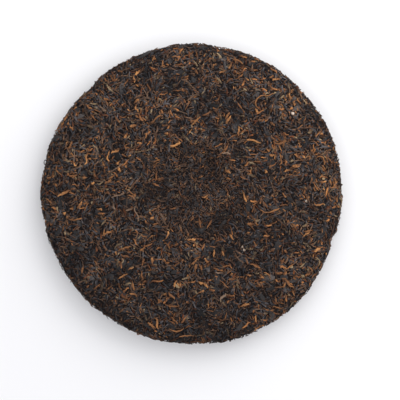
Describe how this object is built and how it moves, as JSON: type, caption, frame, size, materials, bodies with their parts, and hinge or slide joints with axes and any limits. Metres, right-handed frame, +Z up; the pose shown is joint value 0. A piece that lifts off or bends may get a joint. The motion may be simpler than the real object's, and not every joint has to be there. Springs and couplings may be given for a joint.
{
  "type": "pressed tea cake",
  "caption": "Round cake of pressed dark tea leaf with a shallow dimple in its upper face, lying on its gently domed underside.",
  "frame": {"origin": "middle of the underside, on the surface that the cake lies on", "axes": "+Z up through the middle of the cake, out of the dimpled face; +Y towards the side of the face that is uppermost in the picture"},
  "size_m": [0.2007, 0.1998, 0.0239],
  "materials": {
    "pressed_tea_leaf": "matt, dark slate brown pressed leaf with russet and tan buds"
  },
  "bodies": {
    "root": {"tea_cake": "pressed_tea_leaf"}
  },
  "joints": []
}
